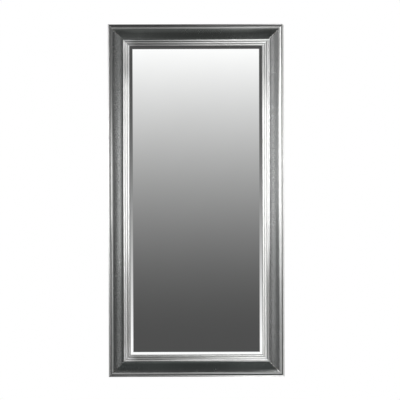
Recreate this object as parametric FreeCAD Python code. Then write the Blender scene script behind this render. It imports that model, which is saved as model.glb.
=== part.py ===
import FreeCAD, Part
import math
import os
from FreeCAD import Vector

# A tall wall mirror: four mitred rails of one moulding round a beveled glass,
# with its board and fixings behind, and two ring hangers to hang it by.
# Sizes are millimetres. Seen from the room, +X is right and +Z is up, and the room lies towards -Y.
# The origin is on the wall, behind the middle of the mirror.

# Frame, outside sizes
frame_width = 759.0
frame_height = 1524.0

# Moulding, widths across its face from the outer edge inwards
lip_width = 6.5
quirk_width = 3.5
shoulder_width = 10.3
cove_width = 43.1
bead_width = 9.6
bead_count = 3

# Moulding, heights: each is a step up or down from the one before, from the rabbet out to the lip
rabbet_width = 8.0
rabbet_depth = 13.0
sight_lip = 3.5
bead_step = 2.5
bead_rise = 3.0
cove_drop = 4.5
cove_rise = 15.0
cove_sag = 4.0
shoulder_step = 1.0
shoulder_rise = 2.1
quirk_depth = 2.5
lip_step = 4.7
lip_rise = 2.8

# Glass, and the board behind it
glass_thickness = 5.0
glass_edge = 2.0
bevel_width = 19.5
edge_clearance = 1.5
seat_gap = 0.1
board_thickness = 4.0

# Pads between the glass and the rabbet wall
pad_length = 40.0
pads_per_side = 2

# Flat points that hold the board in
point_thickness = 0.8
point_width = 9.0
point_grip = 11.0
point_reach = 13.0
point_nose = 5.0
points_long_side = 5
points_short_side = 2

# V nails across the mitres
v_nail_leg = 5.5
v_nail_sheet = 0.6
v_nail_depth = 10.0
v_nail_edge_margin = 14.0
v_nail_rabbet_margin = 13.0

# Flat corner braces and their countersunk screws
brace_leg = 80.0
brace_width = 16.0
brace_thickness = 2.0
brace_gap = 0.5
brace_corner = 4.0
brace_screw_pitch = 36.0
brace_screw_radius = 1.75
brace_screw_head = 3.5
brace_screw_length = 16.0

# Hanger straps, folded over the ring's bar
hanger_inset = 43.0
hanger_drop = 330.0
strap_width = 16.0
strap_sheet = 1.2
strap_length = 40.0
crimp_length = 8.0
eye_clearance = 0.05

# Hanger screws, with pan heads
hanger_screw_to_crimp = 5.5
hanger_screw_to_end = 9.0
hanger_screw_radius = 1.9
hanger_screw_head = 4.0
hanger_screw_head_height = 2.4
hanger_screw_head_edge = 1.1
hanger_screw_length = 16.0

# Screws' points
screw_tip = 4.0

# Hanging rings, of round wire
ring_wire = 1.75
ring_half_width = 14.0
ring_corner = 5.0
ring_side = 9.0
ring_rest_gap = 0.3

# Wall bumpers
bumper_height = 8.0
bumper_base_radius = 9.5
bumper_face_radius = 7.5
bumper_edge = 1.0
bumper_inset = 60.0
bumper_margin = 10.5

# Extra length of a tool that cuts right through
spare = 2.0

# Sizes that follow from those above
half_width = frame_width / 2
half_height = frame_height / 2
back_y = -bumper_height
shoulder_start = lip_width + quirk_width
cove_start = shoulder_start + shoulder_width
bead_start = cove_start + cove_width
rail_width = bead_start + bead_count * bead_width
bead_foot = rabbet_depth + sight_lip + (bead_count - 1) * bead_step
cove_foot = bead_foot - cove_drop
cove_top = cove_foot + cove_rise
shoulder_foot = cove_top + shoulder_step
quirk_floor = shoulder_foot - quirk_depth
lip_spring = quirk_floor + lip_step
rail_height = max(lip_spring + lip_rise, cove_top + shoulder_rise, bead_foot + bead_rise)
rabbet_wall = rail_width - rabbet_width
glass_inset = rabbet_wall + edge_clearance
bevel_slope = (glass_thickness - glass_edge) / bevel_width
glass_edge_front = rabbet_depth - seat_gap - bevel_slope * (rabbet_width - edge_clearance)
glass_back = glass_edge_front - glass_edge
glass_front = glass_back + glass_thickness
board_back = glass_back - board_thickness
v_nail_places = (v_nail_edge_margin, rabbet_wall - v_nail_rabbet_margin - v_nail_leg)
bumper_rise = bumper_margin + bumper_base_radius
brace_inset = bumper_rise + bumper_base_radius + brace_gap
hanger_screw_places = (crimp_length + hanger_screw_to_crimp, strap_length - hanger_screw_to_end)
eye_inner = ring_wire + eye_clearance
eye_outer = eye_inner + strap_sheet
pivot_y = back_y + eye_outer
pivot_z = half_height - hanger_drop
ring_reach = ring_side + ring_half_width
ring_lean = math.degrees(math.asin((eye_outer - ring_wire - ring_rest_gap) / ring_reach))

# The four sides, as the turn about Y that brings the bottom side there
side_turns = {"bottom": 0.0, "left": 90.0, "top": 180.0, "right": -90.0}
corners = {
    "top_left": (-1, 1),
    "top_right": (1, 1),
    "bottom_left": (-1, -1),
    "bottom_right": (1, -1),
}


class Outline:
    """A closed outline of straight runs and arcs, drawn in two coordinates and placed by a function."""

    def __init__(self, place, start):
        self.place = place
        self.start = start
        self.here = start
        self.edges = []

    def line(self, a, b):
        self.edges.append(Part.makeLine(self.place(*self.here), self.place(a, b)))
        self.here = (a, b)
        return self

    def arc(self, via, end):
        arc = Part.Arc(self.place(*self.here), self.place(*via), self.place(*end))
        self.edges.append(arc.toShape())
        self.here = end
        return self

    def face(self):
        if self.here != self.start:
            self.line(*self.start)
        return Part.Face(Part.Wire(self.edges))


def forward(height):
    """Y of a plane that lies a height in front of the rails' back."""
    return back_y - height


def turned(shape, side):
    """A shape made for the bottom side, turned round to another side of the frame."""
    copy = shape.copy()
    copy.rotate(Vector(0, 0, 0), Vector(0, 1, 0), side_turns[side])
    return copy


def side_length(side):
    return frame_width if side in ("bottom", "top") else frame_height


def side_reach(side):
    """Distance from the middle of the frame to a side's outer edge."""
    return half_height if side in ("bottom", "top") else half_width


def spread(count, side):
    """The middles of equal parts of a side's opening, counted from the side's middle."""
    opening = side_length(side) - 2 * rail_width
    return [opening * ((i + 0.5) / count - 0.5) for i in range(count)]


def moulding_section(x, reach):
    """Cross-section of a bottom side's moulding at x: u runs in from the outer edge, h forward."""
    section = Outline(lambda u, h: Vector(x, forward(h), u - reach), (0, 0))
    section.line(0, lip_spring)
    section.arc((lip_width / 2, lip_spring + lip_rise), (lip_width, lip_spring))
    section.line(lip_width, quirk_floor)
    section.line(shoulder_start, quirk_floor)
    section.line(shoulder_start, shoulder_foot)
    shoulder_crown = (shoulder_start + shoulder_width / 2, cove_top + shoulder_rise)
    section.arc(shoulder_crown, (cove_start, cove_top))

    # The cove hangs below its chord by the sag, square to the chord
    chord = math.hypot(cove_width, cove_rise)
    sag_u = cove_start + cove_width / 2 - cove_sag * cove_rise / chord
    sag_h = cove_foot + cove_rise / 2 - cove_sag * cove_width / chord
    section.arc((sag_u, sag_h), (bead_start, cove_foot))

    for i in range(bead_count):
        u = bead_start + i * bead_width
        foot = bead_foot - i * bead_step
        section.line(u, foot)
        section.arc((u + bead_width / 2, foot + bead_rise), (u + bead_width, foot))
    section.line(rail_width, rabbet_depth)
    section.line(rabbet_wall, rabbet_depth)
    section.line(rabbet_wall, 0)
    return section.face()


def plain_rail(side):
    """One rail with its mitred ends, before anything is driven into it."""
    length = side_length(side)
    reach = side_reach(side)
    bar = moulding_section(-length / 2, reach).extrude(Vector(length, 0, 0))
    mitre = Outline(lambda x, u: Vector(x, forward(-spare), u - reach), (-length / 2 - spare, -spare))
    mitre.line(length / 2 + spare, -spare)
    mitre.line(length / 2 - rail_width - spare, rail_width + spare)
    mitre.line(-length / 2 + rail_width + spare, rail_width + spare)
    wedge = mitre.face().extrude(Vector(0, -rail_height - 2 * spare, 0))
    return turned(bar.common(wedge), side)


def beveled_glass():
    """The plate where two bevelled bars cross, so that the bevels meet in mitres at the corners."""
    half_x = half_width - glass_inset
    half_z = half_height - glass_inset

    def bar(place, half, run):
        section = Outline(place, (-half, glass_back))
        section.line(half, glass_back)
        section.line(half, glass_edge_front)
        section.line(half - bevel_width, glass_front)
        section.line(-half + bevel_width, glass_front)
        section.line(-half, glass_edge_front)
        return section.face().extrude(run)

    upright = bar(lambda x, h: Vector(x, forward(h), -half_z), half_x, Vector(0, 0, 2 * half_z))
    across = bar(lambda z, h: Vector(-half_x, forward(h), z), half_z, Vector(2 * half_x, 0, 0))
    return upright.common(across)


def back_board():
    wide = frame_width - 2 * glass_inset
    tall = frame_height - 2 * glass_inset
    return Part.makeBox(wide, board_thickness, tall, Vector(-wide / 2, forward(glass_back), -tall / 2))


def rabbet_pads():
    """Pads that fill the gap round the glass and board, a few on each side."""
    pads = []
    for side in side_turns:
        wall = rabbet_wall - side_reach(side)
        for middle in spread(pads_per_side, side):
            corner = Vector(middle - pad_length / 2, forward(glass_edge_front), wall)
            pad = Part.makeBox(pad_length, glass_edge_front - board_back, edge_clearance, corner)
            pads.append(turned(pad, side))
    return pads


def holding_points():
    """Flat points, pressed nose first into the rabbet wall and lying on the back of the board."""
    points = []
    for side in side_turns:
        wall = rabbet_wall - side_reach(side)
        count = points_short_side if side in ("bottom", "top") else points_long_side
        for middle in spread(count, side):
            blade = Outline(lambda x, z: Vector(middle + x, forward(board_back), wall + z), (0, -point_grip))
            blade.line(point_width / 2, -point_grip + point_nose)
            blade.line(point_width / 2, point_reach)
            blade.line(-point_width / 2, point_reach)
            blade.line(-point_width / 2, -point_grip + point_nose)
            points.append(turned(blade.face().extrude(Vector(0, point_thickness, 0)), side))
    return points


def corner_place(corner, y):
    """Places distances measured inwards from a frame corner, along X and along Z, on a plane at y."""
    way_x, way_z = corners[corner]
    return lambda a, b: Vector(way_x * (half_width - a), y, way_z * (half_height - b))


def mitre_nails():
    """V nails driven flush into the back of each mitre, one leg in each rail."""
    nails = []
    for corner in corners:
        for place in v_nail_places:
            tip = place + v_nail_leg
            inner = place + v_nail_sheet
            nail = Outline(corner_place(corner, back_y), (place, place))
            nail.line(tip, place).line(tip, inner).line(inner, inner)
            nail.line(inner, tip).line(place, tip)
            nails.append(nail.face().extrude(Vector(0, -v_nail_depth, 0)))
    return nails


def countersunk_screw(middle):
    """A screw along Y whose flat head is flush with the brace's face at the given point."""
    cone = brace_screw_head - brace_screw_radius
    body = Outline(lambda r, depth: middle + Vector(r, -depth, 0), (0, 0))
    body.line(brace_screw_head, 0).line(brace_screw_radius, cone)
    body.line(brace_screw_radius, brace_screw_length - screw_tip).line(0, brace_screw_length)
    return body.face().revolve(middle, Vector(0, 1, 0), 360)


def brace_screw_middles(corner):
    """Middles of one brace's screw heads, two on each leg, the outer one at the centre of the round end."""
    place = corner_place(corner, back_y + brace_thickness)
    line = brace_inset + brace_width / 2
    last = brace_inset + brace_leg - brace_width / 2
    middles = []
    for along in (last, last - brace_screw_pitch):
        middles += [place(along, line), place(line, along)]
    return middles


def corner_brace(corner):
    """Flat L plate with round ends, lying on the back of two rails."""
    near = brace_inset
    far = brace_inset + brace_leg
    inner = brace_inset + brace_width
    radius = brace_width / 2
    bend = near + brace_corner
    mid_bend = near + brace_corner * (1 - math.sqrt(0.5))
    plate = Outline(corner_place(corner, back_y), (near, bend))
    plate.line(near, far - radius)
    plate.arc((near + radius, far), (inner, far - radius))
    plate.line(inner, inner)
    plate.line(far - radius, inner)
    plate.arc((far, near + radius), (far - radius, near))
    plate.line(bend, near)
    plate.arc((mid_bend, mid_bend), (near, bend))
    solid = plate.face().extrude(Vector(0, brace_thickness, 0))
    return solid.cut([countersunk_screw(middle) for middle in brace_screw_middles(corner)])


def hanger_x(way):
    return way * (half_width - hanger_inset)


def pan_screw(middle):
    """A screw along Y whose pan head sits on the strap at the given point."""
    dome = hanger_screw_head_height - hanger_screw_head_edge
    dome_radius = (hanger_screw_head ** 2 + dome ** 2) / (2 * dome)
    half_angle = math.asin(hanger_screw_head / dome_radius) / 2
    crown = (
        dome_radius * math.sin(half_angle),
        hanger_screw_head_height - dome_radius * (1 - math.cos(half_angle)),
    )
    body = Outline(lambda r, out: middle + Vector(r, out, 0), (0, hanger_screw_head_height))
    body.arc(crown, (hanger_screw_head, hanger_screw_head_edge))
    body.line(hanger_screw_head, 0).line(hanger_screw_radius, 0)
    body.line(hanger_screw_radius, screw_tip - hanger_screw_length).line(0, -hanger_screw_length)
    return body.face().revolve(middle, Vector(0, 1, 0), 360)


def strap_screws(way):
    seat = back_y + 2 * strap_sheet
    return [pan_screw(Vector(hanger_x(way), seat, pivot_z - down)) for down in hanger_screw_places]


def hanger_strap(way):
    """A strip folded round the ring's bar and closed flat on itself, with a round lower end."""
    left = hanger_x(way) - strap_width / 2

    def across(down, out):
        return Vector(left, back_y + out, pivot_z - down)

    # The upper layer leaves the eye along the tangent that runs down to the crimp
    drop = 2 * strap_sheet - eye_outer
    slant = math.atan2(drop, crimp_length) + math.acos(eye_outer / math.hypot(crimp_length, drop))
    along = (math.cos(slant), math.sin(slant))
    outer_leave = (eye_outer * along[0], eye_outer + eye_outer * along[1])
    inner_leave = (eye_inner * along[0], eye_outer + eye_inner * along[1])
    inner_end = inner_leave[0] + (inner_leave[1] - strap_sheet) * along[1] / along[0]

    fold = Outline(across, (strap_length, 0))
    fold.line(0, 0)
    fold.arc((-eye_outer, eye_outer), outer_leave)
    fold.line(crimp_length, 2 * strap_sheet)
    fold.line(strap_length, 2 * strap_sheet)
    eye = Outline(across, (0, strap_sheet))
    eye.arc((-eye_inner, eye_outer), inner_leave)
    eye.line(inner_end, strap_sheet)
    strip = Vector(strap_width, 0, 0)
    folded = fold.face().extrude(strip).cut(eye.face().extrude(strip))

    radius = strap_width / 2
    middle = hanger_x(way)
    top = -eye_outer - spare
    plan = Outline(lambda x, down: Vector(middle + x, back_y - spare, pivot_z - down), (-radius, top))
    plan.line(radius, top)
    plan.line(radius, strap_length - radius)
    plan.arc((0, strap_length), (-radius, strap_length - radius))
    trim = plan.face().extrude(Vector(0, 2 * eye_outer + 2 * spare, 0))
    return folded.common(trim).cut(strap_screws(way))


def d_ring(way):
    """A ring of round wire: a bar in the eye, short sides and a half-round bow that leans on the rail."""
    middle = hanger_x(way)
    half = ring_half_width
    bend = ring_corner
    mid_bend = bend * (1 - math.sqrt(0.5))
    loop = Outline(lambda x, up: Vector(middle + x, pivot_y, pivot_z + up), (0, 0))
    loop.line(half - bend, 0)
    loop.arc((half - mid_bend, mid_bend), (half, bend))
    loop.line(half, ring_side)
    loop.arc((0, ring_reach), (-half, ring_side))
    loop.line(-half, bend)
    loop.arc((-half + mid_bend, mid_bend), (-half + bend, 0))
    loop.line(0, 0)
    start = Vector(middle, pivot_y, pivot_z)
    section = Part.Wire(Part.makeCircle(ring_wire, start, Vector(1, 0, 0)))
    ring = Part.Wire(loop.edges).makePipeShell([section], True, False)
    ring.rotate(start, Vector(1, 0, 0), ring_lean)
    return ring


def wall_bumper(way):
    """A tapered rubber foot on the back of the bottom rail, whose face meets the wall."""
    middle = Vector(way * (half_width - bumper_inset), back_y, -half_height + bumper_rise)
    foot = Part.makeCone(bumper_base_radius, bumper_face_radius, bumper_height, middle, Vector(0, 1, 0))
    rim = [edge for edge in foot.Edges if edge.BoundBox.YMin > back_y + bumper_height / 2]
    return foot.makeFillet(bumper_edge, rim)


def save(node, shape):
    shape.exportStep("parts/" + node + ".step")
    print(node, len(shape.Solids), "solids", round(shape.Volume, 1), "mm3", "valid", shape.isValid())


os.makedirs("parts", exist_ok=True)

points = holding_points()
nails = mitre_nails()
brace_screws = [countersunk_screw(middle) for corner in corners for middle in brace_screw_middles(corner)]
hanger_screws = strap_screws(-1) + strap_screws(1)
driven = points + nails + brace_screws + hanger_screws

for side in side_turns:
    rail = plain_rail(side)
    save(side + "_rail", rail.cut([piece for piece in driven if piece.BoundBox.intersect(rail.BoundBox)]))

save("mirror_glass", beveled_glass())
save("backing_board", back_board())
save("edge_pads", Part.makeCompound(rabbet_pads()))
save("framer_points", Part.makeCompound(points))
save("v_nails", Part.makeCompound(nails))
for corner in corners:
    save("corner_brace_" + corner, corner_brace(corner))
save("brace_screws", Part.makeCompound(brace_screws))

for name, way in (("left", -1), ("right", 1)):
    save(name + "_hanger_strap", hanger_strap(way))
    save(name + "_d_ring", d_ring(way))
save("hanger_screws", Part.makeCompound(hanger_screws))
save("wall_bumpers", Part.makeCompound([wall_bumper(-1), wall_bumper(1)]))
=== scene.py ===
import math
import bmesh
import bpy
import numpy as np
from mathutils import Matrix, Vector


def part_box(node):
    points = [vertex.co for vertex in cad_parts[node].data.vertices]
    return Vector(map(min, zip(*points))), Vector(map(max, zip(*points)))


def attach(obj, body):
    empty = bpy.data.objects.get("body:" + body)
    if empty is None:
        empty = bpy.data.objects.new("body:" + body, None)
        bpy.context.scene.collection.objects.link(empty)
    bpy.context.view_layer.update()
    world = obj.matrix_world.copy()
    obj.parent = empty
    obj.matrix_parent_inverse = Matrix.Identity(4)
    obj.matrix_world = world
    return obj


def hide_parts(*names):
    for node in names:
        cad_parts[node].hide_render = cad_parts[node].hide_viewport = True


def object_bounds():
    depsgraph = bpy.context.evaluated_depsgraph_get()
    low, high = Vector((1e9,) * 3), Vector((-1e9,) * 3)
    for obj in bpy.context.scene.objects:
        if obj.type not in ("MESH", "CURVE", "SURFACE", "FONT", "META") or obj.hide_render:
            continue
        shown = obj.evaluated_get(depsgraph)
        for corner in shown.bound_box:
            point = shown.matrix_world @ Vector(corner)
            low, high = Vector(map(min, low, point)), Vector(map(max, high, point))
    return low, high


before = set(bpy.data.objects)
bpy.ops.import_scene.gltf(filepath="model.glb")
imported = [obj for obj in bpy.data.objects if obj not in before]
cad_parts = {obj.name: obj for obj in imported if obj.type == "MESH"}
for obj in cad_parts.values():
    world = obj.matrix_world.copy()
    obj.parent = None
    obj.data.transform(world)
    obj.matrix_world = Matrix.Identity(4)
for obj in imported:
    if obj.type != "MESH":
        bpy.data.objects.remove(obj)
cadLow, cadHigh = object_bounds()

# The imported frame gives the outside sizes, in metres. The pieces' own sizes below are in millimetres.
mm = 0.001
samePoint = 1e-6  # millimetres: points of an outline that are nearer than this are one
weldGap = 1e-7  # metres: vertices of a mesh that are nearer than this are joined
halfWidth = cadHigh.x
halfHeight = cadHigh.z
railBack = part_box("left_rail")[1].y  # the rails' back, a bumper's height off the wall
print("frame loaded:", len(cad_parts), "nodes,",
      round(2 * halfWidth / mm), "by", round(2 * halfHeight / mm), "mm")


# Mesh helpers

def arcThrough(start, via, end, count):  # points on the circle through three points, by its angle
    a, b, c = (complex(*p) for p in (start, via, end))
    w = (c - a) / (b - a)
    middle = a + (b - a) * (w - abs(w) ** 2) / (2j * w.imag)
    turn = np.angle((c - middle) / (a - middle))
    z = middle + (a - middle) * np.exp(1j * turn * np.linspace(0, 1, count + 1))
    return np.stack([z.real, z.imag], axis=1)


def closedPath(*runs):  # joins runs of points into one closed outline, without doubled points
    points = np.vstack([np.atleast_2d(run) for run in runs]).astype(float)
    step = np.linalg.norm(points - np.roll(points, 1, axis=0), axis=1)
    return points[step > samePoint]


def eased(points, radius, steps=5, least=25):
    # Each corner sharper than least degrees becomes a parabola that starts and ends a radius away from it,
    # with a holding point on either side. Other points stay as they are.
    mostOfRun = 0.3  # a corner takes no more than this share of the shorter run beside it
    holdReach = 1.5  # the holding points are this many radii away
    before = points - np.roll(points, 1, axis=0)
    after = np.roll(points, -1, axis=0) - points
    reach = np.minimum(np.linalg.norm(before, axis=1), np.linalg.norm(after, axis=1))
    before /= np.linalg.norm(before, axis=1)[:, None]
    after /= np.linalg.norm(after, axis=1)[:, None]
    turn = np.degrees(np.arccos(np.clip((before * after).sum(axis=1), -1, 1)))
    cut = np.where(turn > least, np.minimum(radius, mostOfRun * reach), 0)[:, None, None]
    t = np.linspace(0, 1, steps)[None, :, None]
    curve = points[:, None] - cut * before[:, None] * (1 - t) ** 2 + cut * after[:, None] * t ** 2
    hold = holdReach * cut[:, :, 0]
    first, last = points - hold * before, points + hold * after
    rows = np.concatenate([first[:, None], curve, last[:, None]], axis=1)
    return closedPath(rows.reshape(-1, 2))


def outwards(points):  # unit normals of a closed outline that runs clockwise, in its own plane
    along = np.roll(points, -1, axis=0) - np.roll(points, 1, axis=0)
    along /= np.linalg.norm(along, axis=1)[:, None]
    return np.stack([-along[:, 1], along[:, 0]], axis=1)


def gridFaces(rows, columns, closedRows=False):  # quads of a grid whose columns close on themselves
    r, c = np.meshgrid(np.arange(rows if closedRows else rows - 1), np.arange(columns), indexing="ij")
    nextR, nextC = (r + 1) % rows, (c + 1) % columns
    quads = [r * columns + c, r * columns + nextC, nextR * columns + nextC, nextR * columns + c]
    return np.stack(quads, axis=-1).reshape(-1, 4).tolist()


def cappedFaces(rows, columns):  # the same grid with a flat face on its first and last row
    count = rows * columns
    return gridFaces(rows, columns) + [list(range(columns)), list(range(count - columns, count))]


def manyTimes(points, faces, places):  # one shape repeated at several places
    moved = (np.asarray(places)[:, None, :] + points[None]).reshape(-1, 3)
    count = len(points)
    copies = [[i + k * count for i in face] for k in range(len(places)) for face in faces]
    return moved, copies


def makePiece(name, points, faces, materials, body, nodes, faceFinish=None, strip=None, crease=30):
    mesh = bpy.data.meshes.new(name)
    mesh.from_pydata(np.asarray(points).tolist(), [], faces)
    for finish in materials:
        mesh.materials.append(finish)
    if faceFinish is not None:
        mesh.polygons.foreach_set("material_index", np.asarray(faceFinish, dtype=np.int32))
    work = bmesh.new()
    work.from_mesh(mesh)
    if strip is None:
        bmesh.ops.remove_doubles(work, verts=work.verts, dist=weldGap)
    bmesh.ops.recalc_face_normals(work, faces=work.faces)
    work.to_mesh(mesh)
    work.free()
    if strip is not None:  # UV map in metres: along the rail, and in from its outer edge
        corner = np.empty(len(mesh.loops), dtype=np.int32)
        mesh.loops.foreach_get("vertex_index", corner)
        layer = mesh.uv_layers.new(name="strip")
        layer.data.foreach_set("uv", np.asarray(strip)[corner].astype(np.float32).ravel())
    mesh.shade_smooth()
    mesh.set_sharp_from_angle(angle=math.radians(crease))
    piece = bpy.data.objects.new(name, mesh)
    bpy.context.scene.collection.objects.link(piece)
    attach(piece, body)
    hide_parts(*nodes)
    return piece


# Node helpers

def addNode(tree, kind, inputs=None, **settings):
    # inputs maps the name or number of a socket to a value, or to another node's socket
    made = tree.nodes.new("ShaderNode" + kind)
    for key, value in settings.items():
        setattr(made, key, value)
    for key, value in (inputs or {}).items():
        if isinstance(value, bpy.types.NodeSocket):
            tree.links.new(value, made.inputs[key])
        else:
            made.inputs[key].default_value = value
    return made


def calc(tree, operation, a, b=0.0, c=0.0):
    return addNode(tree, "Math", {0: a, 1: b, 2: c}, operation=operation).outputs[0]


def product(tree, *values):
    result = values[0]
    for value in values[1:]:
        result = calc(tree, "MULTIPLY", result, value)
    return result


def ease(tree, value, low, high, fromLow=0.0, toHigh=1.0):  # smooth step from fromLow to toHigh
    ranges = {"Value": value, "From Min": low, "From Max": high, "To Min": fromLow, "To Max": toHigh}
    return addNode(tree, "MapRange", ranges, interpolation_type="SMOOTHSTEP").outputs[0]


def noise(tree, vector, scale, detail=3.0, rough=0.55):
    values = {"Vector": vector, "Scale": scale, "Detail": detail, "Roughness": rough}
    return addNode(tree, "TexNoise", values).outputs[0]


def scaled(tree, vector, factors):
    return addNode(tree, "VectorMath", {0: vector, 1: factors}, operation="MULTIPLY").outputs[0]


def blendColour(tree, factor, a, b, mode="MIX"):
    a, b = (value if isinstance(value, bpy.types.NodeSocket) else (*value, 1.0) for value in (a, b))
    inputs = {0: factor, 6: a, 7: b}
    return addNode(tree, "Mix", inputs, data_type="RGBA", blend_type=mode).outputs[2]


def ramp(tree, value, stops):  # stops are pairs of a place from 0 to 1 and a colour
    made = addNode(tree, "ValToRGB", {"Fac": value})
    elements = made.color_ramp.elements
    while len(elements) < len(stops):
        elements.new(0.5)
    for element, (place, colour) in zip(elements, stops):
        element.position = place
        element.color = (*colour, 1.0)
    return made.outputs[0]


def newMaterial(name, **plain):  # a Principled material; plain sets its uniform sockets
    made = bpy.data.materials.new(name)
    made.use_nodes = True
    shader = made.node_tree.nodes["Principled BSDF"]
    for key, value in plain.items():
        shader.inputs[key].default_value = value
    return made, made.node_tree, shader


def objectPlace(tree):
    return addNode(tree, "TexCoord").outputs["Object"]


def addBump(tree, shader, height, distance):
    values = {"Height": height, "Distance": distance, "Strength": 1.0}
    tree.links.new(addNode(tree, "Bump", values).outputs[0], shader.inputs["Normal"])


# Shared effects

handlingMarks = {"speckEdges": (0.62, 0.74), "cloudHeight": 0.5}


def handlingGroup():
    # Cloudy tone, fine specks and a small unevenness, for plated steel and other plain parts
    group = bpy.data.node_groups.new("handling", "ShaderNodeTree")
    for label in ("Cloud Scale", "Speck Scale", "Speck Amount"):
        group.interface.new_socket(label, in_out="INPUT", socket_type="NodeSocketFloat")
    for label in ("Cloud", "Speck", "Height"):
        group.interface.new_socket(label, in_out="OUTPUT", socket_type="NodeSocketFloat")
    inside = objectPlace(group)
    given = group.nodes.new("NodeGroupInput").outputs
    sent = group.nodes.new("NodeGroupOutput").inputs
    cloud = noise(group, inside, given["Cloud Scale"], 4.0)
    grit = noise(group, inside, given["Speck Scale"], 2.0)
    speck = calc(group, "MULTIPLY", ease(group, grit, *handlingMarks["speckEdges"]), given["Speck Amount"])
    group.links.new(cloud, sent["Cloud"])
    group.links.new(speck, sent["Speck"])
    height = calc(group, "ADD", calc(group, "MULTIPLY", cloud, handlingMarks["cloudHeight"]), grit)
    group.links.new(height, sent["Height"])
    return group


handling = handlingGroup()


def handled(tree, cloudScale, speckScale, speckAmount):
    values = {"Cloud Scale": cloudScale, "Speck Scale": speckScale, "Speck Amount": speckAmount}
    return addNode(tree, "Group", values, node_tree=handling).outputs


# The moulding's outline, from the outer edge inwards. In the formulas u is a width across the face,
# and h is a height above the rails' back.

moulding = {
    "lip": {"width": 6.5, "spring": 35.2, "crown": 38.0},
    "quirk": {"width": 3.5, "floor": 30.5},
    "shoulder": {"width": 10.3, "foot": 33.0, "crown": 34.1},
    "cove": {"width": 43.1, "top": 32.0, "foot": 17.0, "sag": 4.0},
    "beads": {"count": 3, "width": 9.6, "foot": 21.5, "step": 2.5, "rise": 3.0},
    "rabbet": {"width": 8.0, "depth": 13.0},
    "edgeRadius": 0.4,  # gesso and leaf soften every corner
    "mitreGroove": 0.3, "grooveReach": 0.6,  # depth of the fine groove at each mitre, and how far it runs out
    "arcSteps": {"lip": 18, "shoulder": 10, "cove": 40, "bead": 14},
}
lip, quirk, shoulder, cove, beads = (moulding[k] for k in ("lip", "quirk", "shoulder", "cove", "beads"))
shoulderStart = lip["width"] + quirk["width"]
coveStart = shoulderStart + shoulder["width"]
beadStart = coveStart + cove["width"]
railWidth = beadStart + beads["count"] * beads["width"]
rabbetWall = railWidth - moulding["rabbet"]["width"]
rabbetDepth = moulding["rabbet"]["depth"]


def mouldingOutline():
    # Straight runs and arcs in turn: side, half-round lip, quirk, shoulder, cove, beads, sight edge, rabbet
    # and back. The cove hangs below its chord by the sag, square to the chord.
    steps = moulding["arcSteps"]
    lipCrown = (lip["width"] / 2, lip["crown"])
    chord = math.hypot(cove["width"], cove["top"] - cove["foot"])
    sagU = coveStart + cove["width"] / 2 - cove["sag"] * (cove["top"] - cove["foot"]) / chord
    sagH = (cove["top"] + cove["foot"]) / 2 - cove["sag"] * cove["width"] / chord
    runs = [
        (0, 0),
        arcThrough((0, lip["spring"]), lipCrown, (lip["width"], lip["spring"]), steps["lip"]),
        [(lip["width"], quirk["floor"]), (shoulderStart, quirk["floor"])],
        arcThrough(
            (shoulderStart, shoulder["foot"]),
            (shoulderStart + shoulder["width"] / 2, shoulder["crown"]),
            (coveStart, cove["top"]),
            steps["shoulder"],
        ),
        arcThrough((coveStart, cove["top"]), (sagU, sagH), (beadStart, cove["foot"]), steps["cove"]),
    ]
    for i in range(beads["count"]):
        u = beadStart + i * beads["width"]
        foot = beads["foot"] - i * beads["step"]
        crown = (u + beads["width"] / 2, foot + beads["rise"])
        runs.append(arcThrough((u, foot), crown, (u + beads["width"], foot), steps["bead"]))
    runs.append([(railWidth, rabbetDepth), (rabbetWall, rabbetDepth), (rabbetWall, 0)])
    return eased(closedPath(*runs), moulding["edgeRadius"])


# Rails: the outline carried along each side to its mitres, where the edge dips into a fine groove

sides = {  # name: direction inwards, direction along, outer edge, half length
    "left_rail": ((1, 0, 0), (0, 0, 1), halfWidth, halfHeight),
    "right_rail": ((-1, 0, 0), (0, 0, -1), halfWidth, halfHeight),
    "top_rail": ((0, 0, -1), (1, 0, 0), halfHeight, halfWidth),
    "bottom_rail": ((0, 0, 1), (-1, 0, 0), halfHeight, halfWidth),
}
fromMitre = np.array([0.0, 0.1, 0.3, 0.6, 1.2]) * mm  # stations at each end of a rail


def railGrid(side):
    # Row: a station along the rail. Column: a point of the outline. The place along is the half length,
    # less the distance in from the outer edge, less the station's distance from the mitre. Near the mitre
    # the outline shrinks by the groove's depth, times the square of the share of its reach that is left.
    inwards, along, reach, halfLength = sides[side]
    outline = mouldingOutline() * mm
    normal = outwards(outline)
    left = np.clip(1 - fromMitre / (moulding["grooveReach"] * mm), 0, 1)
    dip = moulding["mitreGroove"] * mm * left ** 2
    shrunk = outline[None] - dip[:, None, None] * normal[None]
    u, h = shrunk[..., 0], shrunk[..., 1]
    lengthwise = halfLength - outline[None, :, 0] - fromMitre[:, None]
    u, h = np.vstack([u, u[::-1]]), np.vstack([h, h[::-1]])
    lengthwise = np.vstack([-lengthwise, lengthwise[::-1]])
    grid = (u - reach)[..., None] * np.array(inwards, float) + lengthwise[..., None] * np.array(along, float)
    grid[..., 1] = railBack - h
    return grid.reshape(-1, 3), np.stack([lengthwise, u], axis=-1).reshape(-1, 2), outline / mm


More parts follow.
